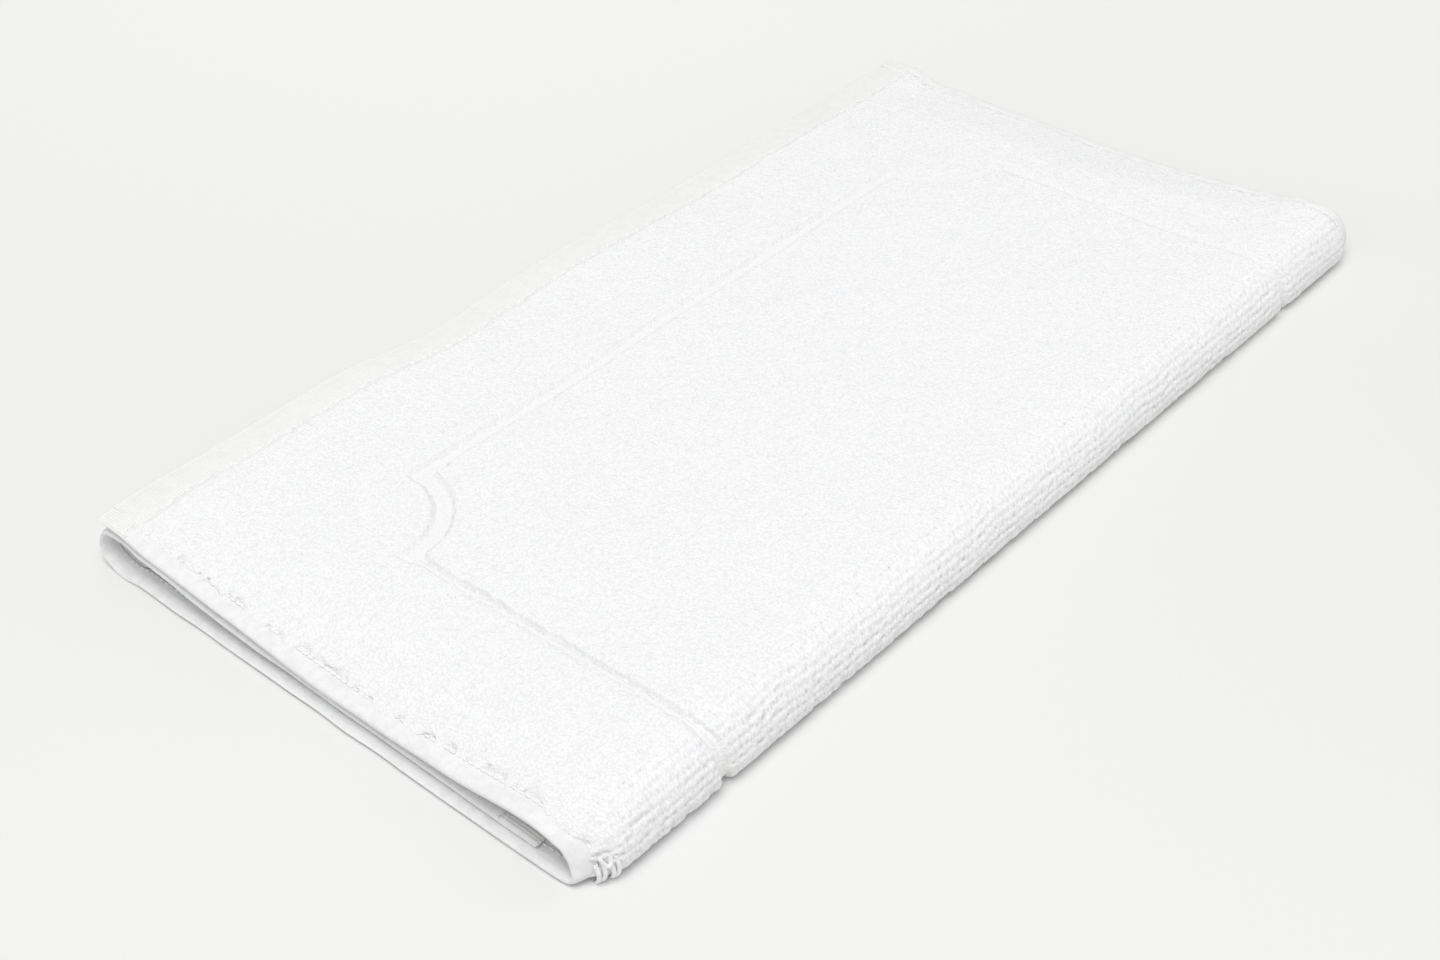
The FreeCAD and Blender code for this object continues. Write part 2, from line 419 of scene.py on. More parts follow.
def groove(s, y):
    """How much of the pile's height the sculpted groove leaves, the least height in it, and how bare
    the cloth is there. Along the mat's sides the pile has closed over the groove, down to a slit."""
    into = inside_frame(s, y)
    from_end = np.minimum(s, MAT_LENGTH - s)
    from_corner = np.hypot(from_end - FRAME_FROM_END, np.abs(y) - FRAME_HALF)
    past_notch = from_end - FRAME_FROM_END - NOTCH
    at_side = smooth(past_notch / SIDE_FADE) * (np.abs(np.abs(y) - FRAME_HALF) < SIDE_STRIP)
    at_side = at_side * (1 - FOLD_OPENS * opened(s))
    at_notch = (from_corner < NOTCH + NOTCH_REACH) * (1 - at_side)
    half = GROOVE / 2 + NOTCH_WIDER * at_notch * smooth(1 - np.abs(into) / NOTCH_REACH)
    half = half * (1 - at_side) + SIDE_GROOVE * at_side
    ragged = 0.9 * (cell_noise(s, y, 2.0, 3) - 0.5) * (0.5 + at_side)
    reach = GROOVE_WALL * (1 + at_side * np.where(into < 0, 0.9, -0.6))
    left = wall(np.abs(into) - half + ragged, reach)
    side_floor = np.where(into > SLIT_FROM, GROOVE_FLOOR, SIDE_GROOVE_FLOOR)
    return left, GROOVE_FLOOR * (1 - at_side) + side_floor * at_side, 1 - left


def rolled(from_edge):
    """The turn of the pile's edge over a hem, as its share outward and its share downward."""
    turn = BANK_ROLL * (1 - np.clip(from_edge / BANK, 0, 1))
    return np.sin(turn), (1 - np.cos(turn)) / (1 - math.cos(BANK_ROLL))


def pile_skin(s, y, side):
    """Points on the tops of the loops. side is 0 for the mat's face and 1 for its back."""
    from_end = np.minimum(s, MAT_LENGTH - s) - END_HEM
    from_side = TERRY_HALF - np.abs(y)
    tops = loop_tops(s, y, side)
    clumps = cell_noise(s, y, CLUMP, 0) - 0.5
    height = PILE * np.clip(PILE_FLOOR + LOOP_SHARE * tops + CLUMP_SHARE * clumps, 0, 1)
    if side == 0:
        height = height + opened(s) * (FOLD_LOOPS * (tops - FOLD_GAPS) + SHAGGY * shagginess(s, y))
    bare = np.zeros(np.shape(s))
    if side == 0:
        left, least, bare = groove(s, y)
        height = np.maximum(height * left, np.minimum(height, least))
    height = np.minimum(height, room_over(s, y, side) * (0.8 + 0.2 * tops))
    spread = overhang(s, y) * (1.0 if side == 0 else 0.5)
    side_out, side_down = rolled(from_side)
    end_out, end_down = rolled(from_end)
    top = GROUND / 2 + height
    h = top - (top - np.minimum(top, BANK_FOOT)) * np.maximum(side_down, end_down)
    y = y + np.sign(y) * spread * side_out
    s = s + np.where(s < MAT_LENGTH / 2, -1, 1) * spread * END_OVERHANG * end_out
    values = {
        "loop": tops,
        "bare": bare,
        "back": np.full(np.shape(s), float(side)),
        "run": s - np.where(s < MAT_LENGTH / 2, 1, -1) * PILE * end_down,
        "across": y + np.sign(y) * PILE * side_down,
    }
    return place(s, y, h if side == 0 else -h), values


# ---------------------------------------------------------------- mesh helpers

def grid_faces(rows, columns, closed=False):
    """Quads between the points of a grid, row by row. closed joins the last column to the first."""
    i, j = np.meshgrid(np.arange(rows - 1), np.arange(columns if closed else columns - 1), indexing="ij")
    k = (j + 1) % columns
    corners = (i * columns + j, (i + 1) * columns + j, (i + 1) * columns + k, i * columns + k)
    return np.stack(corners, axis=-1).reshape(-1, 4)


def grid_normals(points):
    """The normals of a grid of points, in x, y, z, on its front side."""
    along = np.gradient(points, axis=0)
    across = np.gradient(points, axis=1)
    normal = np.cross(along, across)
    return normal / np.maximum(np.linalg.norm(normal, axis=-1, keepdims=True), 1e-9)


def new_piece(name, points, faces, normals=None, values=None):
    """A mesh object from points in millimetres and quads or triangles, with vertex values by name."""
    mesh = bpy.data.meshes.new(name)
    corners = faces.shape[1]
    mesh.vertices.add(len(points))
    mesh.vertices.foreach_set("co", (points * MM).astype(np.float32).ravel())
    mesh.loops.add(faces.size)
    mesh.loops.foreach_set("vertex_index", faces.astype(np.int32).ravel())
    mesh.polygons.add(len(faces))
    mesh.polygons.foreach_set("loop_start", np.arange(0, faces.size, corners, dtype=np.int32))
    mesh.polygons.foreach_set("loop_total", np.full(len(faces), corners, np.int32))
    mesh.update(calc_edges=True)
    mesh.shade_smooth()
    for key, numbers in (values or {}).items():
        attribute = mesh.attributes.new(key, "FLOAT", "POINT")
        attribute.data.foreach_set("value", numbers.astype(np.float32).ravel())
    if normals is not None:
        mesh.normals_split_custom_set_from_vertices(normals)
    piece = bpy.data.objects.new(name, mesh)
    bpy.context.scene.collection.objects.link(piece)
    return piece


def cut_from_grid(points, normals, values, faces, keep):
    """The kept faces of a grid, with the points that they use: ready for new_piece()."""
    used, renumbered = np.unique(faces[keep], return_inverse=True)
    flat = {key: numbers.ravel()[used] for key, numbers in values.items()}
    return points.reshape(-1, 3)[used], renumbered.reshape(-1, 4), normals.reshape(-1, 3)[used], flat


def merged(*surfaces):
    """One surface from several, each as new_piece() takes them."""
    points, faces, normals, values = zip(*surfaces)
    starts = np.cumsum([0] + [len(some) for some in points[:-1]])
    return (
        np.concatenate(points),
        np.concatenate([some + start for some, start in zip(faces, starts)]),
        np.concatenate(normals),
        {key: np.concatenate([some[key] for some in values]) for key in values[0]},
    )


FINE_REACH = 5.0            # points lie twice as close within this distance of a fine spot


def spaced(start, stop, step, fine_spots=()):
    """Numbers from start to stop about step apart."""
    near = np.linspace(start, stop, math.ceil((stop - start) / step) * 16)
    density = np.ones(len(near))
    for spot in fine_spots:
        density += np.abs(near - spot) < FINE_REACH
    density = np.minimum(density, 2)
    count = np.concatenate(([0], np.cumsum((density[1:] + density[:-1]) / 2 * np.diff(near)))) / step
    return np.interp(np.linspace(0, count[-1], max(2, math.ceil(count[-1]) + 1)), count, near)


# ---------------------------------------------------------------- the pieces of each stretch

FACE_STEP = {"flap": 0.88, "front_fold": 0.5, "bottom": 3.0, "rear_fold": 1.2, "inner": 1.2}
BACK_STEP = {"flap": 1.2, "front_fold": 1.2, "bottom": 2.0, "rear_fold": 2.0, "inner": 3.0}


def terry_span(stretch):
    """Where the terry of a stretch starts and ends, clear of any end hem."""
    start, stop = STRETCHES[stretch]
    return max(start, END_HEM), min(stop, MAT_LENGTH - END_HEM)


PULLED_LOOPS = [            # on the front fold: place along it and across the mat, length, half width
    (12.5, -243.0, 6.5, 1.0),
    (11.5, -239.2, 6.0, 1.0),
    (10.5, -241.2, 3.5, 1.3),
]
YARN = 0.6                  # radius of the yarn


def pulled_loop(from_start, across, length, half_width):
    """A loop of yarn that has been pulled out and lies on the pile, pointing down the fold."""
    along = np.linspace(0, math.pi, 25)
    line_s = FRONT_START + from_start + length * np.sin(along)
    line_y = across - half_width * np.cos(along)
    line_h = GROUND / 2 + PILE * (0.85 + 0.35 * np.sin(along))
    run_s, run_y = np.gradient(line_s), np.gradient(line_y)
    run = np.hypot(run_s, run_y)
    turn = -np.linspace(0, 2 * math.pi, 10, endpoint=False)[None, :]
    s = line_s[:, None] - YARN * np.cos(turn) * (run_y / run)[:, None]
    y = line_y[:, None] + YARN * np.cos(turn) * (run_s / run)[:, None]
    h = line_h[:, None] + YARN * np.sin(turn)
    points = place(s, y, h)
    around = np.concatenate((points[:, -1:], points, points[:, :1]), axis=1)
    normals = grid_normals(around)[:, 1:-1]
    ones = np.ones(s.size)
    values = {"loop": ones, "bare": 0 * ones, "back": 0 * ones, "run": s.ravel(), "across": y.ravel()}
    return points.reshape(-1, 3), grid_faces(*s.shape, closed=True), normals.reshape(-1, 3), values


def face_piles(stretch):
    """The pile on the mat's face: the field inside the frame, and the border round it."""
    start, stop = terry_span(stretch)
    step = FACE_STEP[stretch]
    hem_edges = (END_HEM, MAT_LENGTH - END_HEM)
    s = spaced(start, stop, step, hem_edges)
    y = spaced(-TERRY_HALF, TERRY_HALF, step, (-TERRY_HALF, -FRAME_HALF, FRAME_HALF, TERRY_HALF))
    s, y = np.meshgrid(s, y, indexing="ij")
    points, values = pile_skin(s, y, 0)
    faces = grid_faces(*s.shape)
    in_field = (inside_frame(s, y).ravel()[faces].mean(axis=1)) > 0
    normals = grid_normals(points)
    field = cut_from_grid(points, normals, values, faces, in_field)
    border = cut_from_grid(points, normals, values, faces, ~in_field)
    if stretch == "front_fold":
        border = merged(border, *(pulled_loop(*loop) for loop in PULLED_LOOPS))
    return {
        "field_pile": new_piece(f"terry_{stretch}_field", *field),
        "border_pile": new_piece(f"terry_{stretch}_border", *border),
    }


def back_pile(stretch):
    """The pile on the mat's back."""
    start, stop = terry_span(stretch)
    step = BACK_STEP[stretch]
    s, y = np.meshgrid(spaced(start, stop, step), spaced(-TERRY_HALF, TERRY_HALF, step), indexing="ij")
    points, values = pile_skin(s, y, 1)
    faces = grid_faces(*s.shape)[:, ::-1]
    values = {key: numbers.ravel() for key, numbers in values.items()}
    normals = -grid_normals(points).reshape(-1, 3)
    return new_piece(f"terry_{stretch}_back", points.reshape(-1, 3), faces, normals, values)


def swept(name, points):
    """A closed piece from loops of points. The first and last loops only give the ends' shading, so
    that the next stretch's piece carries on without a crease; flat caps close the ends."""
    around = np.concatenate((points[:, -1:], points, points[:, :1]), axis=1)
    normals = grid_normals(around)[1:-1, 1:-1]
    points = points[1:-1]
    rows, columns = points.shape[:2]
    sides = grid_faces(rows, columns, closed=True)
    count = rows * columns
    k = np.arange(columns // 2 - 1)
    first = np.stack((k, k + 1, (-k - 2) % columns, (-k - 1) % columns), axis=-1)
    caps = np.concatenate((first + count, first[:, ::-1] + count + columns))
    ends = points[[0, -1]]
    beside = points[[1, -2]]
    out = ends.mean(axis=1) - beside.mean(axis=1)
    out = out / np.linalg.norm(out, axis=1, keepdims=True)
    cap_normals = np.repeat(out, columns, axis=0)
    return new_piece(
        name,
        np.concatenate((points.reshape(-1, 3), ends.reshape(-1, 3))),
        np.concatenate((sides, caps)),
        np.concatenate((normals.reshape(-1, 3), cap_normals)),
    )


def with_ends(s):
    """The same places with one more beyond each end, for swept()."""
    return np.concatenate(([s[0] - 0.5], s, [s[-1] + 0.5]))


GROUND_COLUMNS = 121        # points across the ground cloth


def ground_cloth(stretch):
    """The woven cloth that the pile stands on, as a thin closed slab."""
    start, stop = terry_span(stretch)
    step = 1.0 if "fold" in stretch else 4.0
    s = with_ends(spaced(start, stop, step))
    y = np.linspace(-TERRY_HALF, TERRY_HALF, GROUND_COLUMNS)
    y_loop = np.concatenate((y, y[::-1]))
    h_loop = np.concatenate((np.full(len(y), GROUND / 2), np.full(len(y), -GROUND / 2)))
    points = place(s[:, None], y_loop[None, :], h_loop[None, :])
    return swept(f"ground_cloth_{stretch}", points)


HEM_ROUND = 20              # points round a hem
PUCKER = 0.16               # how much the stitches draw the side hem in


def hem_thickness(s):
    """The side hem's thickness along the mat: the lower layers' hems are pressed flatter."""
    knots = [
        (0, 3.6),
        (FRONT_START, 3.5),
        (FRONT_END + 15, 2.5),
        (REAR_START - 15, 2.5),
        (REAR_END, 3.0),
        (MAT_LENGTH, 3.0),
    ]
    return curve_through(*np.array(knots).T, s)


def side_hem(stretch, side):
    """The cloth's edge turned twice and sewn down: a soft rounded band. side is -1 left, 1 right."""
    start, stop = terry_span(stretch)
    s = with_ends(spaced(start, stop, 0.9))
    turn = np.linspace(0, 2 * math.pi, HEM_ROUND, endpoint=False)
    width = HALF_WIDTH - TERRY_HALF
    out = -np.cos(turn)                                     # -1 at the terry, 1 at the mat's edge
    shape = np.sign(np.sin(turn)) * np.abs(np.sin(turn)) ** 0.85
    fullness = 0.86 + 0.14 * smooth((out + 1) / 1.2)
    thick = hem_thickness(s)[:, None] / 2
    lumps = 1 + PUCKER * (cell_noise(s, side * 50.0 + 0 * s, 4.3, 2) - 0.5)[:, None]
    wander = 0.35 * (cell_noise(s, side * 90.0 + 0 * s, 17.0, 3) - 0.5)[:, None]
    y = TERRY_HALF + width / 2 * (1 + out[None, :]) + wander * (1 + out[None, :])
    h = shape[None, :] * fullness[None, :] * thick * lumps
    order = slice(None) if side < 0 else slice(None, None, -1)
    points = place(s[:, None] + 0 * y, side * y, h)[:, order]
    name = f"{'left' if side < 0 else 'right'}_side_hem"
    return swept(f"{name}_{stretch}", points)


RIB = 1.3                   # between the ribs of the end hem's weave
RIB_DEEP = 0.05
RIM_THICK = 2.0             # the end hem thins towards the mat's end
RIM_CREASE = (0.86, 0.80, 0.92)     # and most in the crease beside its rolled rim


def end_hem(stretch):
    """The mat's end turned under and sewn down, with no pile: a flat ribbed band."""
    inward = 1 if stretch == "flap" else -1
    end = 0 if stretch == "flap" else MAT_LENGTH
    count = int(2 * HALF_WIDTH / RIB * 4)
    y = with_ends(np.linspace(-HALF_WIDTH, HALF_WIDTH, count))
    rim = [0.0, 0.25, 0.8, 1.6, 2.2, 3.0]
    band = np.linspace(5, END_HEM - 1.0, 8)
    profile = np.concatenate((rim, band, [END_HEM - 0.2, END_HEM + 0.6]))
    thick = RIM_THICK + (END_HEM_THICK - RIM_THICK) * smooth(profile / (0.7 * END_HEM))
    thick = thick * np.sqrt(np.clip(1 - (1 - np.clip(profile / 0.9, 0, 1)) ** 2, 0.02, 1))
    thick[3:6] *= RIM_CREASE
    corner = np.sqrt(np.clip(1 - (1 - np.clip((HALF_WIDTH - np.abs(y)) / 1.5, 0, 1)) ** 2, 0.05, 1))
    ribs = RIB_DEEP * np.cos(2 * math.pi * y / RIB)
    loop_s = end + inward * np.concatenate((profile, profile[::-1]))
    loop_h = np.concatenate((thick, -thick[::-1])) / 2
    ribbed = np.concatenate((np.ones(len(profile)), -np.ones(len(profile)))) * (np.abs(loop_h) > 0.5)
    h = loop_h[None, :] * corner[:, None] + ribs[:, None] * ribbed[None, :]
    s = loop_s[None, :] + 0 * h
    order = slice(None, None, -1) if inward > 0 else slice(None)
    points = place(s, y[:, None] + 0 * h, h)[:, order]
    return swept(f"end_hem_{stretch}", points)


STITCH = 2.7                # length of a stitch
STITCH_GAP = 0.5
STITCH_WIDE = 0.9
STITCH_RISE = 0.42          # a stitch's height above the hem, as a share of its width
SUNK = 0.46                 # a seam's middle lies at this share of the side hem's thickness,
SUNK_AT_END = 0.45          # and at this share of the end hem's where it runs over it
SEAM_INSET = 1.9            # from the hem's inner edge to the middle of the seam
STITCH_RINGS = 5
STITCH_SIDES = 6


def stitches(line_s, line_y, line_h):
    """Lockstitches along a line of points on the mat: separate little rolls of thread."""
    line = place(line_s, line_y, line_h)
    length = np.concatenate(([0], np.cumsum(np.linalg.norm(np.diff(line, axis=0), axis=1))))
    starts = np.arange(0.3, length[-1] - STITCH, STITCH + STITCH_GAP)
    along = np.linspace(-1, 1, STITCH_RINGS)
    at = starts[:, None] + STITCH / 2 * (1 + along[None, :])

    def on_line(numbers):
        return np.interp(at, length, numbers)[..., None]

    turn = np.linspace(0, 2 * math.pi, STITCH_SIDES, endpoint=False)
    round_part = np.sqrt(1 - 0.9 * along ** 2)[None, :, None]
    across = round_part * np.cos(turn)
    above = round_part * np.sin(turn)
    run_s, run_y = np.gradient(line_s, length), np.gradient(line_y, length)
    s = on_line(line_s) - across * STITCH_WIDE / 2 * on_line(run_y)
    y = on_line(line_y) + across * STITCH_WIDE / 2 * on_line(run_s)
    up = np.sign(line_h[0])
    h = on_line(line_h) + up * above * STITCH_WIDE * STITCH_RISE
    points = place(s, y, h)
    one = grid_faces(STITCH_RINGS, STITCH_SIDES, closed=True)
    size = STITCH_RINGS * STITCH_SIDES
    last = size - STITCH_SIDES
    cap = np.array([[0, 1, 2, 3], [0, 3, 4, 5]])
    caps = np.concatenate((cap, last + cap[:, ::-1]))
    one = np.concatenate((one, caps))
    if up > 0:
        one = one[:, ::-1]
    faces = (one[None] + size * np.arange(len(starts))[:, None, None]).reshape(-1, 4)
    return points.reshape(-1, 3), faces


def joined(name, parts):
    """One piece from several lists of points and faces."""
    points, faces, count = [], [], 0
    for some_points, some_faces in parts:
        points.append(some_points)
        faces.append(some_faces + count)
        count += len(some_points)
    return new_piece(name, np.concatenate(points), np.concatenate(faces))


def side_seams(stretch):
    """The seam on the face and the back of both side hems."""
    start, stop = terry_span(stretch)
    s = np.arange(start, stop, 0.5)
    near = TERRY_HALF + SEAM_INSET
    parts = []
    for side in (-1, 1):
        for up in (-1, 1):
            h = up * hem_thickness(s) * SUNK
            parts.append(stitches(s, np.full(len(s), side * near), h))
    return joined(f"side_seams_{stretch}", parts)


def end_seam(stretch):
    """The seam that holds the end hem, and the side seams' ends where they run over it."""
    inward = 1 if stretch == "flap" else -1
    end = 0 if stretch == "flap" else MAT_LENGTH
    y = np.arange(-HALF_WIDTH + 1, HALF_WIDTH - 1, 0.5)
    near = end + inward * (END_HEM - SEAM_INSET)
    s = end + inward * np.arange(1.0, END_HEM + 1, 0.5)
    if inward < 0:
        s = s[::-1]
    parts = []
    for up in (-1, 1):
        parts.append(stitches(np.full(len(y), near), y, np.full(len(y), up * END_HEM_THICK / 2)))
        over = np.full(len(s), up * END_HEM_THICK * SUNK_AT_END)
        for side in (-1, 1):
            across = np.full(len(s), side * (TERRY_HALF + 0.4))
            parts.append(stitches(s, across, over))
    return joined(f"end_seam_{stretch}", parts)


# ---------------------------------------------------------------- materials

def new_material(name, base, roughness, sheen):
    """A white cotton material and its shader. Fixed values sit on the shader's sockets."""
    material = bpy.data.materials.new(name)
    material.use_nodes = True
    nodes = material.node_tree.nodes
    shader = nodes["Principled BSDF"]
    shader.inputs["Base Color"].default_value = (*base, 1)
    shader.inputs["Roughness"].default_value = roughness
    shader.inputs["Specular IOR Level"].default_value = 0.15
    shader.inputs["Sheen Weight"].default_value = sheen
    shader.inputs["Sheen Roughness"].default_value = 0.5
    shader.inputs["Sheen Tint"].default_value = (1, 1, 1, 1)
    return material, shader


def node(material, kind, **settings):
    """A new shader node, with its sockets set by name."""
    made = material.node_tree.nodes.new(kind)
    for key, value in settings.items():
        if key in made.inputs:
            made.inputs[key].default_value = value
        else:
            setattr(made, key, value)
    return made


def link(material, source, target):
    material.node_tree.links.new(source, target)


def ramp(material, source, low, high, dark, light):
    """Maps a number to a colour, from dark at low to light at high."""
    made = node(material, "ShaderNodeValToRGB")
    made.color_ramp.elements[0].position = low
    made.color_ramp.elements[0].color = (*dark, 1)
    made.color_ramp.elements[1].position = high
    made.color_ramp.elements[1].color = (*light, 1)
    link(material, source, made.inputs["Fac"])
    return made.outputs["Color"]


def times(material, one, other):
    """Multiplies two colours."""
    made = node(material, "ShaderNodeMix", data_type="RGBA", blend_type="MULTIPLY")
    made.inputs["Factor"].default_value = 1
    link(material, one, made.inputs[6])
    link(material, other, made.inputs[7])
    return made.outputs[2]


def along_mat(material, run_scale, across_scale):
    """A texture place that follows the cloth: s and y of the mat, scaled."""
    run = node(material, "ShaderNodeAttribute", attribute_name="run")
    across = node(material, "ShaderNodeAttribute", attribute_name="across")
    both = node(material, "ShaderNodeCombineXYZ")
    for source, scale, axis in ((run, run_scale, "X"), (across, across_scale, "Y")):
        scaled = node(material, "ShaderNodeMath", operation="MULTIPLY")
        scaled.inputs[1].default_value = scale
        link(material, source.outputs["Fac"], scaled.inputs[0])
        link(material, scaled.outputs["Value"], both.inputs[axis])
    return both.outputs["Vector"]


def bump(material, shader, heights, distance, strength):
    """Adds up the heights, each (output, share), and bumps the shader's surface with them."""
    total = None
    for source, share in heights:
        added = node(material, "ShaderNodeMath", operation="MULTIPLY_ADD")
        added.inputs[1].default_value = share
        added.inputs[2].default_value = 0
        link(material, source, added.inputs[0])
        if total is not None:
            link(material, total, added.inputs[2])
        total = added.outputs["Value"]
    made = node(material, "ShaderNodeBump", Strength=strength, Distance=distance)
    link(material, total, made.inputs["Height"])
    link(material, made.outputs["Normal"], shader.inputs["Normal"])


def terry_material():
    """Cotton loops: soft pits between them with painted shade in them, fine twisted yarn on them, and
    painted shade on the back pile.
    """
    material, shader = new_material("white_terry", (0.97, 0.97, 0.97), 0.95, 0.08)
    where = along_mat(material, 1.0, 1.0)
    yarn = node(material, "ShaderNodeTexVoronoi", Scale=1.0, Randomness=1.0)
    fuzz = node(material, "ShaderNodeTexNoise", Scale=2.6, Detail=3.0, Roughness=0.6)
    patch = node(material, "ShaderNodeTexNoise", Scale=0.12, Detail=2.0)
    for texture in (yarn, fuzz, patch):
        link(material, where, texture.inputs["Vector"])
    bump(material, shader, [(yarn.outputs["Distance"], -0.8), (fuzz.outputs["Fac"], 0.5)], 0.0008, 0.6)
    loop = node(material, "ShaderNodeAttribute", attribute_name="loop")
    # painted shade: the loops' colour darkens from their tops down into the pits between them
    painted_pit_shade = ramp(material, loop.outputs["Fac"], 0.05, 0.75, (0.94, 0.94, 0.948), (0.995, 0.995, 0.998))
    tone = ramp(material, patch.outputs["Fac"], 0.3, 0.7, (0.985, 0.985, 0.99), (1, 1, 1))
    grain = ramp(material, yarn.outputs["Distance"], 0.25, 0.75, (1, 1, 1), (0.91, 0.91, 0.915))
    loops = times(material, times(material, painted_pit_shade, tone), grain)
    bare = node(material, "ShaderNodeAttribute", attribute_name="bare")
    mix = node(material, "ShaderNodeMix", data_type="RGBA")
    mix.inputs[7].default_value = (0.91, 0.91, 0.907, 1)
    link(material, bare.outputs["Fac"], mix.inputs["Factor"])
    link(material, loops, mix.inputs[6])
    back = node(material, "ShaderNodeAttribute", attribute_name="back")
    # painted shade: the back pile is coloured darker, standing in for the shade inside the folds
    shade = ramp(material, back.outputs["Fac"], 0.0, 1.0, (1, 1, 1), (0.87, 0.87, 0.86))
    link(material, times(material, mix.outputs[2], shade), shader.inputs["Base Color"])
    return material


def bands(period):
    """The Scale at which a wave texture repeats after this many millimetres."""
    return 2 * math.pi / 20 / (period * MM)


def woven_material(name, rib, rib_share, tone):
    """Plain cotton weave: ribs this many millimetres apart along y, and a soft mottle."""
    material, shader = new_material(name, tone, 0.9, 0.1)
    place_on = node(material, "ShaderNodeTexCoord")
    ribs = node(material, "ShaderNodeTexWave", Scale=bands(rib), Distortion=0.8, Detail=1.0)
    ribs.inputs["Detail Scale"].default_value = 1.5
    ribs.bands_direction = "Y"
    fuzz = node(material, "ShaderNodeTexNoise", Scale=700.0, Detail=3.0)
    mottle = node(material, "ShaderNodeTexNoise", Scale=260.0, Detail=3.0, Roughness=0.6)
    for texture in (ribs, fuzz, mottle):
        link(material, place_on.outputs["Object"], texture.inputs["Vector"])
    mottle_share = 1 - rib_share
    heights = [
        (ribs.outputs["Fac"], rib_share),
        (fuzz.outputs["Fac"], 0.4),
        (mottle.outputs["Fac"], 0.8 * mottle_share),
    ]
    bump(material, shader, heights, 0.0005, 0.6)
    dark = tuple((1 - 0.01 - 0.07 * mottle_share) * c for c in tone)
    colour = ramp(material, mottle.outputs["Fac"], 0.35, 0.62, dark, tone)
    low = 1 - 0.07 * rib_share
    threads = ramp(material, ribs.outputs["Fac"], 0.0, 0.8, (low, low, low), (1, 1, 1))
    link(material, times(material, colour, threads), shader.inputs["Base Color"])
    return material


def thread_material():
    """Sewing thread: two plies twisted, with a little sheen."""
    material, shader = new_material("hem_thread", (0.95, 0.95, 0.945), 0.6, 0.3)
    place_on = node(material, "ShaderNodeTexCoord")
    twist = node(material, "ShaderNodeTexWave", Scale=90.0, Distortion=1.0)
    twist.bands_direction = "DIAGONAL"
    link(material, place_on.outputs["Object"], twist.inputs["Vector"])
    bump(material, shader, [(twist.outputs["Fac"], 1.0)], 0.0002, 0.4)
    colour = ramp(material, twist.outputs["Fac"], 0.0, 1.0, (0.90, 0.90, 0.895), (0.96, 0.96, 0.955))
    link(material, colour, shader.inputs["Base Color"])
    return material


MATERIALS = {
    "terry_pile": terry_material(),
    "ground_weave": woven_material("ground_weave", 1.6, 0.3, (0.84, 0.84, 0.83)),
    "end_hem_weave": woven_material("end_hem_weave", RIB, 0.7, (0.915, 0.915, 0.91)),
    "side_hem_weave": woven_material("side_hem_weave", 1.9, 0.1, (0.88, 0.88, 0.885)),
    "hem_thread": thread_material(),
}


# ---------------------------------------------------------------- assembly

def slot_of(cad_piece):
    if cad_piece.endswith("_pile"):
        return "terry_pile"
    if cad_piece.endswith(("_seam", "_seams")):
        return "hem_thread"
    if cad_piece == "end_hem":
        return "end_hem_weave"
    if cad_piece.endswith("side_hem"):
        return "side_hem_weave"
    return "ground_weave"


def make_stretch(stretch):
    """Every piece of one stretch of the mat, by the name of what it stands for in the CAD."""
    pieces = {
        "ground_cloth": ground_cloth(stretch),
        **face_piles(stretch),
        "back_pile": back_pile(stretch),
        "left_side_hem": side_hem(stretch, -1),
        "right_side_hem": side_hem(stretch, 1),
        "side_seams": side_seams(stretch),
    }
    if stretch in ("flap", "inner"):
        pieces["end_hem"] = end_hem(stretch)
        pieces["end_seam"] = end_seam(stretch)
    return pieces


def attach(stretch, piece):
    """Makes a piece move with its part of the mat: the flap's with the flap, the rest with the base. The
    front fold's pieces are only baked in place and follow neither body.
    """
    if stretch == "front_fold":
        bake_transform(piece)
    elif stretch == "flap":
        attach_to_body(piece, "flap")
    else:
        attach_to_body(piece, "base")


for stretch_name in STRETCHES:
    made = make_stretch(stretch_name)
    for cad_piece, piece in made.items():
        piece.data.materials.append(MATERIALS[slot_of(cad_piece)])
        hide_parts(f"{stretch_name}_{cad_piece}")
        attach(stretch_name, piece)
    cloth = made.pop("ground_cloth")


# ---------------------------------------------------------------- floor, light and camera

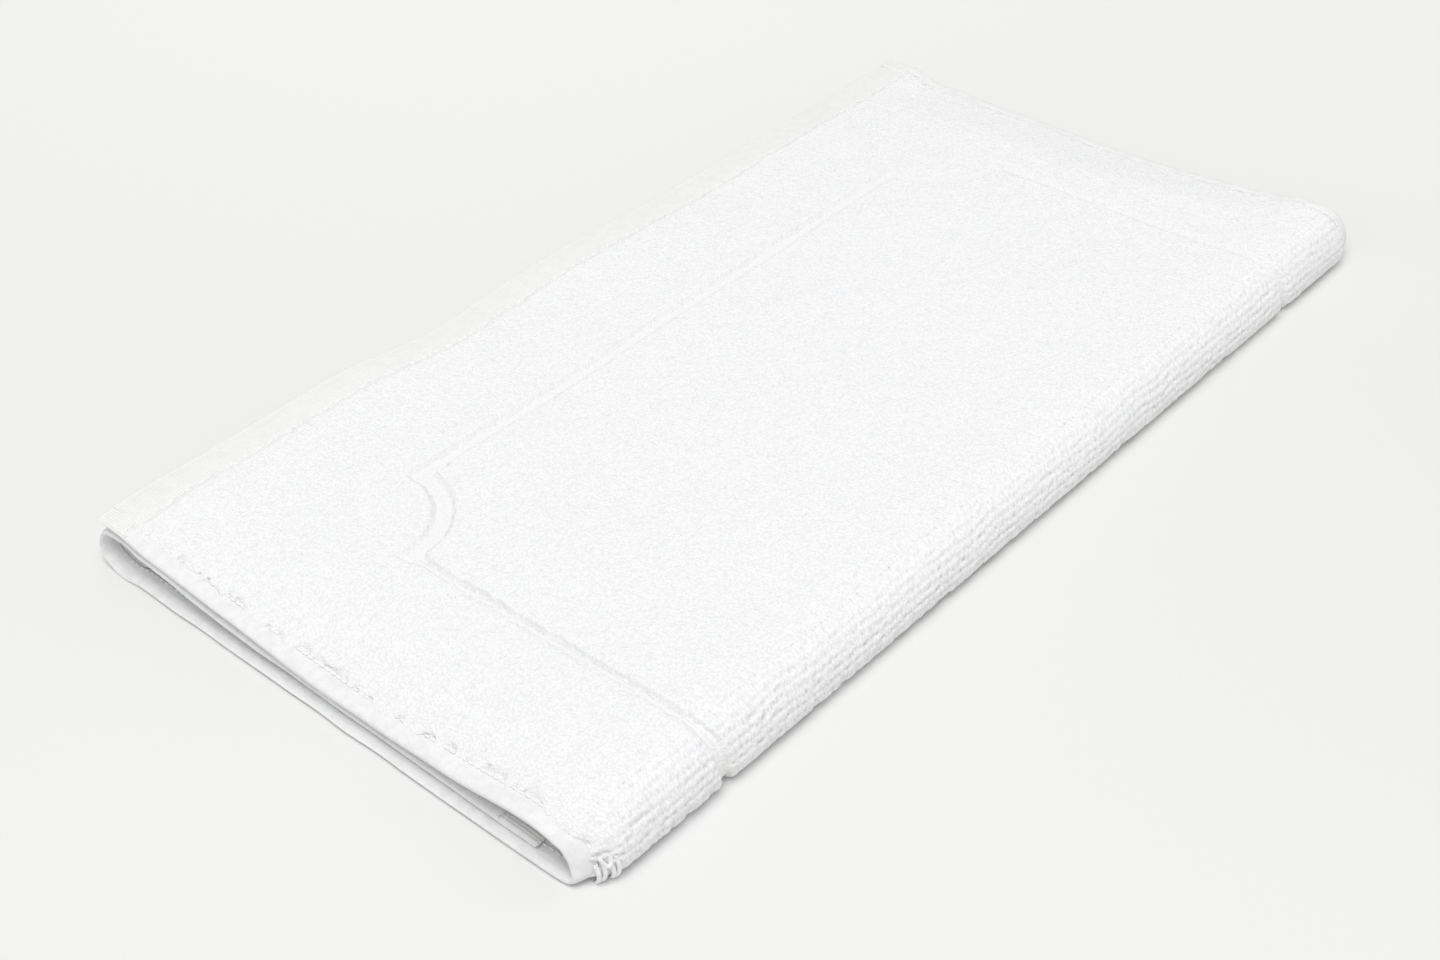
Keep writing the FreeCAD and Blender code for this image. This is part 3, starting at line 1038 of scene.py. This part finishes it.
def make_floor():
    """A plain pale floor, faintly uneven in tone, with painted light that makes it paler towards the back.
    """
    bpy.ops.mesh.primitive_plane_add(size=12, location=(0, 0, 0))
    floor = bpy.context.object
    floor.name = "floor"
    material = bpy.data.materials.new("pale_floor")
    material.use_nodes = True
    shader = material.node_tree.nodes["Principled BSDF"]
    shader.inputs["Roughness"].default_value = 0.9
    shader.inputs["Specular IOR Level"].default_value = 0.1
    place_on = node(material, "ShaderNodeTexCoord")
    tone = node(material, "ShaderNodeTexNoise", Scale=1.2, Detail=1.0)
    link(material, place_on.outputs["Object"], tone.inputs["Vector"])
    colour = ramp(material, tone.outputs["Fac"], 0.3, 0.7, (0.985, 0.985, 0.98), (1, 1, 1))
    # painted light: the floor is coloured darker towards the front and paler towards the back, a gradient
    # of light painted into it
    apart = node(material, "ShaderNodeVectorMath", operation="DOT_PRODUCT")
    apart.inputs[1].default_value = (-0.35, 0.35, 0)
    link(material, place_on.outputs["Object"], apart.inputs[0])
    painted_light_gradient = ramp(material, apart.outputs["Value"], 0.0, 0.25, (0.825, 0.825, 0.82), (0.90, 0.90, 0.895))
    link(material, times(material, colour, painted_light_gradient), shader.inputs["Base Color"])
    floor.data.materials.append(material)


SURROUND = 0.54             # brightness of the surround
LAMP_SIZE = 2.4
LAMP_POWER = 64.5
LAMP_PLACE = (0.45, -0.6, 3.1)


def make_light():
    """A bright even surround, and one large soft lamp above and to the left."""
    world = bpy.data.worlds.new("studio")
    world.use_nodes = True
    world.node_tree.nodes["Background"].inputs["Color"].default_value = (1, 1, 1, 1)
    world.node_tree.nodes["Background"].inputs["Strength"].default_value = SURROUND
    bpy.context.scene.world = world
    lamp = bpy.data.lights.new("softbox", "AREA")
    lamp.shape = "RECTANGLE"
    lamp.size = LAMP_SIZE
    lamp.size_y = LAMP_SIZE
    lamp.energy = LAMP_POWER
    box = bpy.data.objects.new("softbox", lamp)
    box.location = LAMP_PLACE
    box.rotation_euler = (Vector((0, 0, 0)) - box.location).to_track_quat("-Z", "Y").to_euler()
    bpy.context.scene.collection.objects.link(box)


CAMERA_PLACE = Vector((0.4691, -0.5258, 0.4994))
CAMERA_RIGHT = Vector((0.7439, 0.6667, -0.0468))
CAMERA_FORWARD = Vector((-0.5494, 0.5701, -0.6109))
CAMERA_LENS = 50.0


def make_camera():
    """The photograph's viewpoint."""
    data = bpy.data.cameras.new("camera")
    data.lens = CAMERA_LENS
    data.sensor_width = 36
    data.clip_start, data.clip_end = 0.01, 100
    forward = CAMERA_FORWARD.normalized()
    right = (CAMERA_RIGHT - forward * CAMERA_RIGHT.dot(forward)).normalized()
    up = right.cross(forward)
    turn = Matrix((right, up, -forward)).transposed().to_4x4()
    camera = bpy.data.objects.new("camera", data)
    camera.matrix_world = Matrix.Translation(CAMERA_PLACE) @ turn
    bpy.context.scene.collection.objects.link(camera)
    bpy.context.scene.camera = camera


make_floor()
make_light()
make_camera()
bpy.context.scene.view_settings.view_transform = "Standard"
